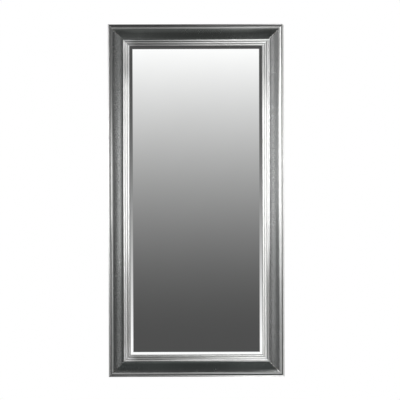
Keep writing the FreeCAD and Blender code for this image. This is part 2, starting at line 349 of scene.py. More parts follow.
silverLeaf = {  # brightness of the leaf from the outer edge inwards, where a rail has none of its own
    "side": 0.29, "lip": 0.88, "quirk": 0.17, "cove": 0.20, "bead": 0.945, "sight": 0.12,
    "edgeStart": 1.8,
    "tint": (1.0, 1.004, 0.992),
    "worn": (0.120, 0.115, 0.105),  # grey clay where the leaf is rubbed through
    "paintedGlint": (0.780, 0.782, 0.770),  # painted highlight along the mitres, where their edges catch the light
    "glintReach": (0.78, 2.08),  # millimetres off the mitre at which the bright line begins to fade, and ends
    "leftGlint": 0.15, "rightGlint": 1.0,  # how strong it is on the left and on the right
    "upperLeftGlint": 0.9, "upperLeftReach": (24, 34),  # and on the outer part of the upper left mitre
}
toneEdges = {  # where tones begin and end, in millimetres past the moulding's lines, or before if negative
    "lip": (0.8, -0.6), "shoulder": 0.7, "foot": (-3.0, -0.3), "bead": 2.0,
    "valley": (-1.3, 0.1, 0.8, 2.0), "sight": (-1.0, -0.3),
}
railLightAndShadeTones = {
    # Each rail's own tones, which hold painted light and shade: raised where light falls on that side and
    # lowered where it is shaded, and the foot of the cove and the lines between the beads are painted darker
    # on some rails and lighter on others.
    # shoulderEnd, edgeStart and edgeEnd are millimetres in from the start of the cove, and footStart is
    # millimetres back from its foot. valleys are the two lines between the beads.
    "left_rail": {
        "shoulder": 0.56, "shoulderEnd": 0.6, "edge": 0.265, "edgeEnd": 10.0,
        "footStart": 13.0, "foot": 0.058, "valleys": (0.945, 0.88), "coveTint": (0.985, 1.008, 0.995),
    },
    "right_rail": {
        "lip": 0.81, "quirk": 0.26,
        "shoulder": 0.92, "shoulderEnd": 0.6, "edge": 0.24, "edgeEnd": 10.0,
        "footStart": 9.0, "foot": 0.12, "valleys": (0.62, 0.78), "coveTint": (0.99, 1.006, 1.0),
    },
    "top_rail": {
        "lip": 0.35,
        "shoulder": 0.47, "shoulderEnd": -4.5, "edge": 0.46, "edgeEnd": 17.0,
        "footStart": 9.0, "foot": 0.32, "valleys": (0.44, 0.54), "coveTint": (0.97, 1.03, 0.995),
    },
    "bottom_rail": {
        "edgeStart": -2.5,
        "shoulder": 0.59, "shoulderEnd": -8.0, "edge": 0.30, "edgeEnd": 17.0,
        "footStart": 9.0, "foot": 0.42, "valleys": (0.945, 0.68), "coveTint": (0.95, 1.05, 1.02),
    },
}
paintedShade, paintedHighlight = 0.0, silverLeaf["bead"]  # brightness of painted shade and of painted highlight
allBeads = (beadStart, railWidth)
paintedLightPatches = {
    # Painted shade in dark patches and painted highlight in bright ones, where light falls less or more along
    # each rail. Each patch is: across from and to, in millimetres from the outer edge; where along the rail
    # it begins and where it is full, -1 being the left or lower end and 1 the right or upper one; strength;
    # brightness.
    "left_rail": [
        (0, 20.8, 0.50, 1.04, 0.28, paintedShade),  # lip and shoulder at both corners
        (0, 20.8, -0.29, -0.83, 0.28, paintedShade),
        (0.8, 6.5, -0.25, -0.60, 0.20, paintedShade),  # lip, below
        (shoulderStart, 20.8, 0.16, 0.69, 0.62, paintedShade),  # shoulder, above
        (15.5, 20.8, 0.05, 0.40, 0.25, paintedShade),
        (6.2, 9.6, -0.07, -0.40, 0.36, paintedHighlight),  # quirk, below
        (9.5, 14.5, -0.06, -0.26, 0.66, paintedShade),  # outer half of the shoulder, below
        (26, 36, 0.10, 0.33, 0.09, paintedHighlight),  # outer half of the cove, above
        (*allBeads, 0.62, 0.76, 0.33, paintedShade),  # beads, above, and at the corner
        (*allBeads, 0.80, 0.90, 0.35, paintedHighlight),
        (*allBeads, -0.29, -0.83, 0.20, paintedShade),  # beads, below
        (beadStart, 70.0, -0.30, -0.55, 0.26, paintedShade),
        (76.0, railWidth, -0.22, -0.52, 0.32, paintedShade),
        (71.5, 75.0, -0.10, -0.40, 0.90, paintedHighlight),  # between the outer beads, below
        (*allBeads, -0.76, -0.90, 0.50, paintedHighlight),
    ],
    "right_rail": [
        (0.8, 6.5, 0.35, 0.75, 0.36, paintedShade),  # lip, above
        (lip["width"], shoulderStart, -0.10, -0.50, 0.50, paintedShade),  # quirk, below
        (shoulderStart, 16, 0.74, 0.92, 0.14, paintedShade),  # shoulder, above and below
        (shoulderStart, 20.8, -0.28, -0.75, 0.38, paintedShade),
        (16, 20.8, 0.55, 0.88, 0.62, paintedShade),
        (16, 20.8, 0.0, -0.28, 0.36, paintedShade),
        (coveStart, 34, 0.12, -0.24, 0.42, paintedShade),  # edge of the cove, below
        (55.5, 59.4, 0.28, -0.06, 0.58, paintedShade),  # dark line near the foot of the cove, fading below
        (55.5, 59.4, -0.28, -0.62, 0.09, paintedHighlight),
        (59.4, beadStart, -0.60, -0.10, 0.75, paintedHighlight),  # foot of the cove
        (59.8, beadStart, -0.30, -0.55, 0.42, paintedHighlight),
        (59.4, beadStart, 0.30, 0.60, 0.80, paintedHighlight),
        (*allBeads, 0.45, 0.78, 0.38, paintedShade),  # beads, above
        (beadStart, 75.0, -0.25, -0.52, 0.48, paintedShade),  # outer bead, below
    ],
    "top_rail": [
        (0, 20.8, 0.66, -0.74, 0.48, paintedShade),  # lip and shoulder, towards the left
        (0.8, 6.5, 0.40, -0.40, 0.35, paintedShade),
        (shoulderStart, 20.8, 0.60, 0.95, 0.25, paintedShade),
        (24, beadStart, -0.62, -0.90, 0.50, paintedShade),  # both ends of the cove
        (coveStart, beadStart, 0.45, 0.88, 0.56, paintedShade),
        (44, beadStart, 0.72, 0.95, 0.70, paintedShade),
        (*allBeads, 0.40, -0.62, 0.58, paintedShade),  # beads, towards the left
        (beadStart, 69.5, 0.25, -0.15, 0.20, paintedShade),  # outer bead
        (beadStart, 70.0, 0.60, 0.82, 0.18, paintedShade),
        (84.0, railWidth, -1.20, -1.00, 0.20, paintedShade),  # inner bead, all along
        (62.5, railWidth, -0.67, -0.79, 0.40, paintedHighlight),  # beads at the left-hand corner
    ],
    "bottom_rail": [
        (0.8, 6.5, 0.66, -0.74, 0.56, paintedShade),  # lip, towards the left
        (0.8, 6.5, -0.74, -0.95, 0.35, paintedShade),
        (15.5, 20.8, 0.05, -0.25, 0.28, paintedShade),  # inner half of the shoulder, towards the left
        (6.5, 10.6, -0.20, 0.50, 0.85, paintedShade),  # quirk, towards the right
        (27, beadStart, -0.40, -0.90, 0.58, paintedShade),  # both ends of the cove
        (29, beadStart, 0.45, 0.90, 0.60, paintedShade),
        (44, beadStart, 0.72, 0.95, 0.40, paintedShade),
        (10.8, 14.8, 0.0, 0.66, 0.50, paintedHighlight),  # shoulder, towards the right
        (58, beadStart, 0.10, 0.60, 0.60, paintedShade),  # foot of the cove, towards the right
        (beadStart, 69.0, -0.10, 0.45, 0.42, paintedShade),
        (*allBeads, 0.66, -0.74, 0.48, paintedShade),  # beads, towards the left
        (76.0, 82.6, 0.30, -0.05, 0.28, paintedShade),  # middle bead, towards the left
        (71.5, 75.5, -0.35, 0.05, 0.90, paintedHighlight),  # between the outer beads
        (62.5, 82.6, -0.66, -0.79, 0.70, paintedHighlight),  # outer beads at the left-hand corner
        (82.6, railWidth, -0.67, -0.79, 0.35, paintedHighlight),
    ],
}
paintedPatchSoftness = 0.6  # millimetres
leafGrain = {  # scales of the noise, and what it does to the leaf
    "cloudScale": 35.0, "speckScale": 260.0, "glintScale": 80.0, "streakScale": (9.0, 700.0, 1.0),
    "speckEdges": (0.60, 0.75), "speckPatches": (0.42, 0.62), "glintEdges": (0.40, 0.60, 0.25, 0.85),
    "streakDepth": 0.06, "streakRelief": 0.3, "cloudRoughness": 0.02, "speckRoughness": 0.27,
}
leafFinishes = {  # how cloudy, worn through, rough, drawn lengthwise and uneven each surface is
    # both finishes carry their rail's painted light and shade, besides real wear
    "silverLeafWornAndPaintedLight": {"cloud": 0.14, "worn": 0.55, "rough": 0.45, "drawn": 0.0, "relief": 0.010},
    "drawnCove": {"cloud": 0.05, "worn": 0.02, "rough": 0.26, "drawn": 0.9, "relief": 0.0003},
}


def leafZones(tree, across, side):  # colour by the distance in from the outer edge
    tones = {**silverLeaf, **railLightAndShadeTones[side]}
    bead = tones["bead"]
    stops = [
        (0.0, tones["side"]),
        (toneEdges["lip"][0], tones["lip"]),
        (lip["width"] + toneEdges["lip"][1], tones["lip"]),
        (lip["width"], tones["quirk"]),
        (shoulderStart, tones["quirk"]),
        (shoulderStart + toneEdges["shoulder"], tones["shoulder"]),
        (coveStart + tones["shoulderEnd"], tones["shoulder"]),
        (coveStart + tones["edgeStart"], tones["edge"]),
        (coveStart + tones["edgeEnd"], tones["cove"]),
        (beadStart - tones["footStart"], tones["cove"]),
        (beadStart + toneEdges["foot"][0], tones["foot"]),
        (beadStart + toneEdges["foot"][1], tones["foot"]),
        (beadStart + toneEdges["bead"], bead),
    ]
    for i, valley in enumerate(tones["valleys"], 1):
        line = beadStart + i * beads["width"]
        stops += zip((line + edge for edge in toneEdges["valley"]), (bead, valley, valley, bead))
    stops += zip((railWidth + edge for edge in toneEdges["sight"]), (bead, tones["sight"]))
    coloured = []
    for u, level in stops:
        tint = tones["coveTint"] if coveStart < u < beadStart else tones["tint"]
        coloured.append((u / railWidth, tuple(level * part for part in tint)))
    return ramp(tree, calc(tree, "DIVIDE", across, railWidth * mm), coloured)


def addPaintedLight(tree, base, across, along, patches):
    soft = paintedPatchSoftness
    for start, end, clear, full, strength, level in patches:
        patch = product(
            tree,
            ease(tree, across, (start - soft) * mm, (start + soft) * mm),
            ease(tree, across, (end - soft) * mm, (end + soft) * mm, 1.0, 0.0),
            ease(tree, along, clear, full, 0.0, strength),
        )
        base = blendColour(tree, patch, base, (level, level, level))
    return base


def leafMaterial(name, side):
    leaf, grain, finish = silverLeaf, leafGrain, leafFinishes[name]
    made, tree, shader = newMaterial(name + "_" + side, Metallic=1.0, Anisotropic=finish["drawn"])
    strip = addNode(tree, "UVMap", uv_map="strip").outputs[0]
    across = addNode(tree, "SeparateXYZ", {0: strip}).outputs[1]
    place = objectPlace(tree)
    spot = addNode(tree, "SeparateXYZ", {0: place}).outputs
    upright = side in ("left_rail", "right_rail")
    axis, reach = (spot[2], halfHeight) if upright else (spot[0], halfWidth)
    along = calc(tree, "DIVIDE", axis, reach)
    wobble = noise(tree, place, grain["cloudScale"])
    fine = noise(tree, place, grain["speckScale"])
    streak = noise(tree, scaled(tree, strip, grain["streakScale"]), 1.0)

    # Cloudy leaf, streaks drawn along the rail, and spots where the leaf is rubbed through
    # Tones across the rail, with each rail's painted light and shade
    base = leafZones(tree, across, side)
    cloud = calc(tree, "MULTIPLY_ADD", wobble, finish["cloud"], 1.0 - 0.5 * finish["cloud"])
    streaks = calc(tree, "MULTIPLY_ADD", streak, grain["streakDepth"], 1.0 - 0.5 * grain["streakDepth"])
    tone = product(tree, cloud, streaks)
    toneColour = addNode(tree, "CombineColor", {0: tone, 1: tone, 2: tone}).outputs[0]
    base = blendColour(tree, 1.0, base, toneColour, "MULTIPLY")
    specks = ease(tree, fine, *grain["speckEdges"])
    worn = product(tree, specks, ease(tree, wobble, *grain["speckPatches"]), finish["worn"])
    base = blendColour(tree, worn, base, leaf["worn"])
    # Painted shade and painted highlight in patches along the rail
    base = addPaintedLight(tree, base, across, along, paintedLightPatches[side])

    # Painted highlight along the mitres, where their edges catch the light, broken in places, strongest on
    # the right and at the upper left corner
    inFromSide = calc(tree, "SUBTRACT", halfWidth, calc(tree, "ABSOLUTE", spot[0]))
    inFromEnd = calc(tree, "SUBTRACT", halfHeight, calc(tree, "ABSOLUTE", spot[2]))
    offMitre = calc(tree, "ABSOLUTE", calc(tree, "SUBTRACT", inFromSide, inFromEnd))
    towardsRight = ease(tree, spot[0], -0.8 * halfWidth, 0.8 * halfWidth, leaf["leftGlint"], leaf["rightGlint"])
    upperLeft = product(
        tree,
        ease(tree, spot[0], -0.5 * halfWidth, -0.8 * halfWidth),
        ease(tree, spot[2], 0.5 * halfHeight, 0.8 * halfHeight),
        ease(tree, across, *(u * mm for u in leaf["upperLeftReach"]), leaf["upperLeftGlint"], 0.0),
    )
    paintedGlint = product(
        tree,
        ease(tree, offMitre, *(u * mm for u in leaf["glintReach"]), 1.0, 0.0),
        ease(tree, noise(tree, place, grain["glintScale"], 2.0), *grain["glintEdges"]),
        calc(tree, "MAXIMUM", towardsRight, upperLeft),
    )
    tree.links.new(blendColour(tree, paintedGlint, base, leaf["paintedGlint"]), shader.inputs["Base Color"])

    rough = calc(tree, "MULTIPLY_ADD", wobble, grain["cloudRoughness"], finish["rough"])
    rough = calc(tree, "MULTIPLY_ADD", worn, grain["speckRoughness"], rough)
    tree.links.new(rough, shader.inputs["Roughness"])
    if finish["drawn"]:  # highlights spread across the rail
        shader.inputs["Anisotropic Rotation"].default_value = 0.25
        lengthwise = addNode(tree, "Tangent", direction_type="UV_MAP", uv_map="strip").outputs[0]
        tree.links.new(lengthwise, shader.inputs["Tangent"])
    relief = calc(tree, "MULTIPLY_ADD", streak, grain["streakRelief"], fine)
    addBump(tree, shader, relief, finish["relief"] * mm)
    return made


bareWood = {
    "pale": (0.56, 0.40, 0.24), "dark": (0.38, 0.25, 0.13),
    "driftScale": 14.0, "grainScale": (5.0, 260.0, 1.0), "poreScale": (60.0, 2600.0, 1.0),
    "driftShare": 0.45, "grainShare": 0.75, "poreEdges": (0.60, 0.72, 0.0, 0.35), "relief": 0.12,
    "spill": (0.06, 0.06, 0.06), "spillWidth": 2.5, "spillEdges": (-0.5, 0.6),  # clay run over the edge
}


def bareWoodMaterial():
    wood = bareWood
    made, tree, shader = newMaterial("bareWood", Roughness=0.7)
    strip = addNode(tree, "UVMap", uv_map="strip").outputs[0]
    drift = noise(tree, objectPlace(tree), wood["driftScale"], 2.0)
    grain = noise(tree, scaled(tree, strip, wood["grainScale"]), 1.0, 5.0, 0.65)
    pores = noise(tree, scaled(tree, strip, wood["poreScale"]), 1.0, 2.0)
    figure = calc(tree, "MULTIPLY", grain, wood["grainShare"])
    figure = calc(tree, "MULTIPLY_ADD", drift, wood["driftShare"], figure)
    base = ramp(tree, figure, [(0.38, wood["dark"]), (0.56, wood["pale"]), (0.78, wood["dark"])])
    base = blendColour(tree, ease(tree, pores, *wood["poreEdges"]), base, wood["dark"])
    across = addNode(tree, "SeparateXYZ", {0: strip}).outputs[1]
    spillEdge = calc(tree, "MULTIPLY_ADD", drift, -2.0 * wood["spillWidth"] * mm, across)
    spill = ease(tree, spillEdge, *(u * mm for u in wood["spillEdges"]), 1.0, 0.0)
    tree.links.new(blendColour(tree, spill, base, wood["spill"]), shader.inputs["Base Color"])
    addBump(tree, shader, calc(tree, "ADD", grain, pores), wood["relief"] * mm)
    return made


unleafed = bareWoodMaterial()
slack = 0.05  # millimetres
for side in sides:
    points, strip, outline = railGrid(side)
    rows, columns = 2 * len(fromMitre), len(outline)
    across, height = (outline + np.roll(outline, -1, axis=0)).T / 2  # middles of the outline's steps
    bare = (height < slack) | ((across > rabbetWall - 2 * slack) & (height < rabbetDepth + slack))
    inCove = (across > coveStart) & (across < beadStart)
    # Finishes by number: 0 is leaf, 1 the cove and 2 bare wood, which the two mitred ends have as well
    finish = np.append(np.tile(np.where(bare, 2, np.where(inCove, 1, 0)), rows - 1), [2, 2])
    railFinishes = [leafMaterial("silverLeafWornAndPaintedLight", side), leafMaterial("drawnCove", side), unleafed]
    makePiece(side + "_moulding", points, cappedFaces(rows, columns), railFinishes,
              "frame", [side], faceFinish=finish, strip=strip)
print("rails made:", len(sides), "of", len(outline), "outline points")


# Glass: a stack of four-cornered rings, back, edge and bevel, which meet in mitres

glass = {"inset": rabbetWall + 1.5, "bevelWidth": 19.5, "thickness": 5.0, "edge": 2.0, "seatGap": 0.1}
glassCoats = {
    # name: colour, shares of it that its clouds range between, where they turn, their scale and detail,
    # how metallic it is, roughness, relief in millimetres
    "silveredGlass": ((0.955, 0.962, 0.958), (0.985, 1.0), (0.35, 0.65), (4.0, 2.0), 1.0, 0.0, 0.0),
    "groundGlassEdge": ((0.10, 0.26, 0.20), (1.0, 1.5), (0.3, 0.7), (900.0, 2.0), 0.0, 0.3, 0.0),
    "mirrorBackPaint": ((0.16, 0.17, 0.16), (1.0, 1.25), (0.3, 0.7), (60.0, 4.0), 0.0, 0.6, 0.1),
}


def coatMaterial(name):
    colour, shares, edges, clouds, metal, rough, relief = glassCoats[name]
    made, tree, shader = newMaterial(name, Metallic=metal, Roughness=rough)
    cloud = noise(tree, objectPlace(tree), *clouds)
    colours = [tuple(share * value for value in colour) for share in shares]
    tree.links.new(ramp(tree, cloud, list(zip(edges, colours))), shader.inputs["Base Color"])
    if relief:
        addBump(tree, shader, cloud, relief * mm)
    return made


def glassRings():
    # Each ring is the corner signs times half sizes less its inset, at its height above the rails' back
    slope = (glass["thickness"] - glass["edge"]) / glass["bevelWidth"]
    edgeFront = rabbetDepth - glass["seatGap"] - slope * (railWidth - glass["inset"])
    inset = glass["inset"] + np.array([0.0, 0.0, glass["bevelWidth"]])
    height = edgeFront + np.array([-glass["edge"], 0.0, glass["thickness"] - glass["edge"]])
    signs = np.array([(-1, -1), (-1, 1), (1, 1), (1, -1)], float)
    x = signs[None, :, 0] * (halfWidth - inset[:, None] * mm)
    z = signs[None, :, 1] * (halfHeight - inset[:, None] * mm)
    y = np.broadcast_to(railBack - height[:, None] * mm, x.shape)
    return np.stack([x, y, z], axis=-1).reshape(-1, 3)


glassFinish = [1] * 4 + [0] * 4 + [2, 0]  # edges, bevels, back, front, by the order of glassCoats
glassFinishes = [coatMaterial(name) for name in glassCoats]
beveledGlass = makePiece("beveled_glass", glassRings(), cappedFaces(3, 4), glassFinishes,
                         "frame", ["mirror_glass"], faceFinish=glassFinish, crease=1)
print("glass made")


# Ring hangers: a wire ring in the eye of a folded strap, on each long rail

hanger = {
    "inset": 43.0, "drop": 330.0,
    "wire": 1.75, "halfWidth": 14.0, "bend": 5.0, "side": 9.0, "restGap": 0.3,
    "strapWidth": 16.0, "strapSheet": 1.2, "strapLength": 40.0, "crimp": 8.0, "clearance": 0.05,
    "strapEdge": 0.25, "screwDowns": (13.5, 31.0),
    "ringSteps": {"bar": 12, "bend": 10, "bow": 28, "wire": 20},
    "strapSteps": {"back": 9, "eye": 24, "front": 7, "across": 25},
}
eyeOuter = hanger["wire"] + hanger["clearance"] + hanger["strapSheet"]  # radius of the eye's outside
hangerX = {"left": -halfWidth + hanger["inset"] * mm, "right": halfWidth - hanger["inset"] * mm}
pivotZ = halfHeight - hanger["drop"] * mm


def ringGrid(x):
    # Row: a point of the D-shaped path. Column: a point of the wire's circle, set out from the path by
    # its normal in the ring's plane and the plane's own normal. The ring leans until its bow meets the rail.
    half, bend, side, steps = (hanger[k] for k in ("halfWidth", "bend", "side", "ringSteps"))
    near = bend * (1 - math.sqrt(0.5))
    far = half / math.sqrt(2)
    reach = side + half
    bar = np.linspace(-half + bend, half - bend, steps["bar"])
    path = closedPath(
        np.stack([bar, np.zeros_like(bar)], axis=1),
        arcThrough((half - bend, 0), (half - near, near), (half, bend), steps["bend"]),
        arcThrough((half, side), (far, side + far), (0, reach), steps["bow"]),
        arcThrough((0, reach), (-far, side + far), (-half, side), steps["bow"]),
        arcThrough((-half, bend), (-half + near, near), (-half + bend, 0), steps["bend"]),
    )
    normal = outwards(path)
    angle = np.linspace(0, 2 * math.pi, steps["wire"], endpoint=False)
    flat = path[:, None] + hanger["wire"] * np.cos(angle)[None, :, None] * normal[:, None]
    thick = np.broadcast_to(hanger["wire"] * np.sin(angle), flat.shape[:2])
    lean = math.asin((eyeOuter - hanger["wire"] - hanger["restGap"]) / reach)
    up = flat[..., 1] * math.cos(lean) + thick * math.sin(lean)
    out = thick * math.cos(lean) - flat[..., 1] * math.sin(lean)
    grid = np.stack([x + flat[..., 0] * mm, railBack + (eyeOuter + out) * mm, pivotZ + up * mm], axis=-1)
    return grid.reshape(-1, 3), gridFaces(len(path), len(angle), closedRows=True)


def strapGrid(x):
    # Row: a place across the strap, and these crowd towards its two edges. Column: a point of the folded
    # sheet's side view. Below the crimp, places down the strap draw in to make its round end.
    sheet, length, crimp, steps = (hanger[k] for k in ("strapSheet", "strapLength", "crimp", "strapSteps"))
    radius = hanger["strapWidth"] / 2
    drop = 2 * sheet - eyeOuter
    slant = math.atan2(drop, crimp) + math.acos(eyeOuter / math.hypot(crimp, drop))
    leave = (eyeOuter * math.cos(slant), eyeOuter * (1 + math.sin(slant)))
    back = np.linspace(length, 0, steps["back"])
    front = np.linspace(crimp, length, steps["front"])
    side = eased(closedPath(
        np.stack([back, np.zeros_like(back)], axis=1),
        arcThrough((0, 0), (-eyeOuter, eyeOuter), leave, steps["eye"]),
        np.stack([front, np.full_like(front, 2 * sheet)], axis=1),
    ), hanger["strapEdge"])
    across = np.sin(np.linspace(-1, 1, steps["across"]) * math.pi / 2) * radius
    end = length - radius + np.sqrt(np.maximum(radius ** 2 - across ** 2, 0))
    shrink = (end - length) / (length - crimp)
    down = side[:, 0] + np.maximum(side[:, 0] - crimp, 0) * shrink[:, None]
    grid = np.stack([
        np.broadcast_to(x + across[:, None] * mm, down.shape),
        np.broadcast_to(railBack + side[None, :, 1] * mm, down.shape),
        pivotZ - down * mm,
    ], axis=-1)
    return grid.reshape(-1, 3), cappedFaces(len(across), len(side))


plating = {  # name: clean and dull colour, roughness, scale of its clouds
    "nickelPlate": ((0.66, 0.64, 0.58), (0.42, 0.40, 0.36), 0.26, 160.0),
    "zincPlate": ((0.60, 0.61, 0.62), (0.42, 0.43, 0.44), 0.38, 110.0),
    "screwPlate": ((0.62, 0.54, 0.36), (0.44, 0.38, 0.27), 0.32, 240.0),
    "pointSteel": ((0.50, 0.50, 0.49), (0.30, 0.29, 0.27), 0.40, 180.0),
}
plateMarks = {  # specks: scale and amount
    "specks": (900.0, 0.5), "dullEdges": (0.35, 0.6), "roughSpread": 0.22, "roughDrop": 0.1, "relief": 0.02,
}


def platedMaterial(name):
    clean, dull, roughness, cloudScale = plating[name]
    made, tree, shader = newMaterial(name, Metallic=1.0)
    marks = handled(tree, cloudScale, *plateMarks["specks"])
    colour = ramp(tree, marks["Cloud"], list(zip(plateMarks["dullEdges"], (dull, clean))))
    colour = blendColour(tree, marks["Speck"], colour, dull)
    tree.links.new(colour, shader.inputs["Base Color"])
    smoothest = roughness - plateMarks["roughDrop"]
    rough = calc(tree, "MULTIPLY_ADD", marks["Cloud"], plateMarks["roughSpread"], smoothest)
    tree.links.new(rough, shader.inputs["Roughness"])
    addBump(tree, shader, marks["Height"], plateMarks["relief"] * mm)
    return made


nickelPlate, zincPlate, screwPlate, pointPlate = (platedMaterial(name) for name in plating)

for way, x in hangerX.items():
    points, faces = ringGrid(x)
    makePiece(way + "_hanging_ring", points, faces, [nickelPlate],
              way + "_ring", [way + "_d_ring"])
    points, faces = strapGrid(x)
    makePiece(way + "_strap", points, faces, [nickelPlate],
              "frame", [way + "_hanger_strap"])
print("hangers made")


# Screws: a turned profile whose head has a cross recess

panScrew = {"head": 4.0, "seat": 2.4, "edge": 1.1, "shank": 1.9, "length": 16.0, "tip": 4.0}
flatScrew = {"head": 3.5, "edge": 0.1, "shank": 1.75, "length": 16.0, "tip": 4.0}
cross = {  # millimetres; then the wall and the widest half of an arm in degrees; then shares
    "arm": 2.1, "halfWidth": 0.5, "depth": 1.5, "wall": 4.0, "widest": 38.0,
    "rise": 0.55, "midArm": 0.6, "rim": 1.06, "head": 1.25,
}


def screwGrid(top, below):
    # Row: a radius. Column: an angle. Angles crowd to the edges of the four arms at every radius, so that
    # the recess has straight walls; its floor falls towards the middle. top gives the head's height at a
    # radius, below lists the radii and heights under the rim.
    arm, half = cross["arm"], cross["halfWidth"]
    head = below[0][0]
    armSteps, headSteps = 7, 5
    outer = np.linspace(arm * cross["head"], head, headSteps)
    radius = np.concatenate([np.linspace(0, arm, armSteps), [arm * cross["rim"]], outer])
    edge = np.arcsin(np.minimum(half / np.maximum(radius, samePoint), 1))
    edge = np.minimum(edge, math.radians(cross["widest"]))
    wall = math.radians(cross["wall"])
    midway = (edge + math.pi / 4) / 2 + wall / 2
    share = np.stack([0 * edge, edge * cross["midArm"], edge, edge + wall, midway], axis=1)
    quarter = np.hstack([share, np.full((len(radius), 1), math.pi / 4), math.pi / 2 - share[:, :0:-1]])
    angle = np.hstack([quarter + k * math.pi / 2 for k in range(4)])
    inArm = np.tile(np.array([1, 1, 1, 0, 0, 0, 0, 0, 1, 1]), 4)
    floor = cross["depth"] * np.where(radius <= arm, 1 - cross["rise"] * radius / arm, 0)
    height = top(radius)[:, None] - floor[:, None] * inArm[None]
    under = np.asarray(below, float)
    r = np.vstack([np.broadcast_to(radius[:, None], angle.shape), np.tile(under[:, :1], angle.shape[1])])
    angle = np.vstack([angle, np.repeat(angle[-1:], len(under), axis=0)])
    height = np.vstack([height, np.tile(under[:, 1:], height.shape[1])])
    points = np.stack([r * np.cos(angle), height, r * np.sin(angle)], axis=-1) * mm
    return points.reshape(-1, 3), gridFaces(len(r), angle.shape[1])


def panTop(r):  # a shallow dome
    dome = panScrew["seat"] - panScrew["edge"]
    ball = (panScrew["head"] ** 2 + dome ** 2) / (2 * dome)
    return panScrew["seat"] - ball + np.sqrt(ball ** 2 - r ** 2)


def flatTop(r):  # a countersunk head is level
    return 0 * r


def belowRim(screw, rim, neck):  # radii and heights from the rim of the head down to the tip
    shank, length = screw["shank"], screw["length"]
    return [(screw["head"], rim), (shank, neck), (shank, screw["tip"] - length), (0.0, -length)]


panBelow = belowRim(panScrew, 0.0, 0.0)
flatBelow = belowRim(flatScrew, -flatScrew["edge"], flatScrew["shank"] - flatScrew["head"])
brace = {"inset": 30.0, "leg": 80.0, "width": 16.0, "thickness": 2.0, "pitch": 36.0}

strapFace = railBack + 2 * hanger["strapSheet"] * mm
hangerPlaces = [(x, strapFace, pivotZ - down * mm) for x in hangerX.values() for down in hanger["screwDowns"]]
points, faces = manyTimes(*screwGrid(panTop, panBelow), hangerPlaces)
makePiece("strap_screws", points, faces, [screwPlate], "frame", ["hanger_screws"])

line = (brace["inset"] + brace["width"] / 2) * mm
last = (brace["inset"] + brace["leg"] - brace["width"] / 2) * mm
pairs = [pair for along in (last, last - brace["pitch"] * mm) for pair in ((along, line), (line, along))]
bracePlaces = [(sx * (halfWidth - a), railBack + brace["thickness"] * mm, sz * (halfHeight - b))
               for sx in (-1, 1) for sz in (-1, 1) for a, b in pairs]
points, faces = manyTimes(*screwGrid(flatTop, flatBelow), bracePlaces)
makePiece("brace_screw_set", points, faces, [screwPlate], "frame", ["brace_screws"])
print("screws made:", len(hangerPlaces) + len(bracePlaces))


# Wall bumpers: a turned rubber foot

bumper = {"base": 9.5, "face": 7.5, "height": 8.0, "edge": 1.0, "foot": 0.3, "inset": 60.0, "rise": 20.0}


def bumperGrid():
    # Row: a point of the side view, from the middle of the base out and up to the middle of the face.
    # Column: an angle.
    base, face, high, edge, foot = (bumper[k] for k in ("base", "face", "height", "edge", "foot"))
    lean = (base - face) / high
    bulge = 0.25 * edge
    start = (base - lean * (high - edge), high - edge)
    edgeSteps, turnSteps = 8, 48
    soft = arcThrough(start, (face - bulge, high - bulge), (face - edge, high), edgeSteps)
    side = np.vstack([[(0, 0), (base - foot, 0), (base, foot)], soft, [(0, high)]])
    angle = np.linspace(0, 2 * math.pi, turnSteps, endpoint=False)
    r, out = side[:, :1], np.broadcast_to(side[:, 1:], (len(side), len(angle)))
    points = np.stack([r * np.cos(angle), out, r * np.sin(angle)], axis=-1) * mm
    return points.reshape(-1, 3), gridFaces(len(side), len(angle))


rubber = {  # marks: scales of the clouds and specks, amount of specks
    "bumper": (0.028, 0.028, 0.029), "pad": (0.060, 0.060, 0.060), "dust": (0.16, 0.155, 0.145),
    "marks": (90.0, 1400.0, 0.35), "dustEdges": (0.45, 0.8, 0.0, 0.4), "relief": 0.05,
}


def rubberMaterial(name, colour):
    made, tree, shader = newMaterial(name, Roughness=0.72)
    marks = handled(tree, *rubber["marks"])
    dusty = ease(tree, marks["Cloud"], *rubber["dustEdges"])
    tinted = blendColour(tree, dusty, colour, rubber["dust"])
    tree.links.new(blendColour(tree, marks["Speck"], tinted, rubber["dust"]), shader.inputs["Base Color"])
    addBump(tree, shader, marks["Height"], rubber["relief"] * mm)
    return made


bumperX = halfWidth - bumper["inset"] * mm
bumperZ = -halfHeight + bumper["rise"] * mm
bumperRubber = rubberMaterial("bumperRubber", rubber["bumper"])
points, faces = manyTimes(*bumperGrid(), [(way * bumperX, railBack, bumperZ) for way in (-1, 1)])
makePiece("rubber_bumpers", points, faces, [bumperRubber], "frame", ["wall_bumpers"])
print("bumpers made")


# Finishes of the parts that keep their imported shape

board = {  # marks as in rubber
    "pale": (0.36, 0.235, 0.135), "dark": (0.27, 0.17, 0.098), "fibre": (0.46, 0.325, 0.20),
    "marks": (9.0, 700.0, 0.6), "cloudEdges": (0.3, 0.7), "relief": 0.1,
    "fibreScale": (420.0, 420.0, 160.0), "fibreEdges": (0.55, 0.75, 0.0, 0.55),
}


def boardMaterial():
    made, tree, shader = newMaterial("pressedBoard", Roughness=0.75)
    marks = handled(tree, *board["marks"])
    fibres = noise(tree, scaled(tree, objectPlace(tree), board["fibreScale"]), 1.0, 4.0, 0.7)
    colour = ramp(tree, marks["Cloud"], list(zip(board["cloudEdges"], (board["dark"], board["pale"]))))
    colour = blendColour(tree, ease(tree, fibres, *board["fibreEdges"]), colour, board["fibre"])
    colour = blendColour(tree, marks["Speck"], colour, board["dark"])
    tree.links.new(colour, shader.inputs["Base Color"])
    addBump(tree, shader, calc(tree, "ADD", fibres, marks["Height"]), board["relief"] * mm)
    return made


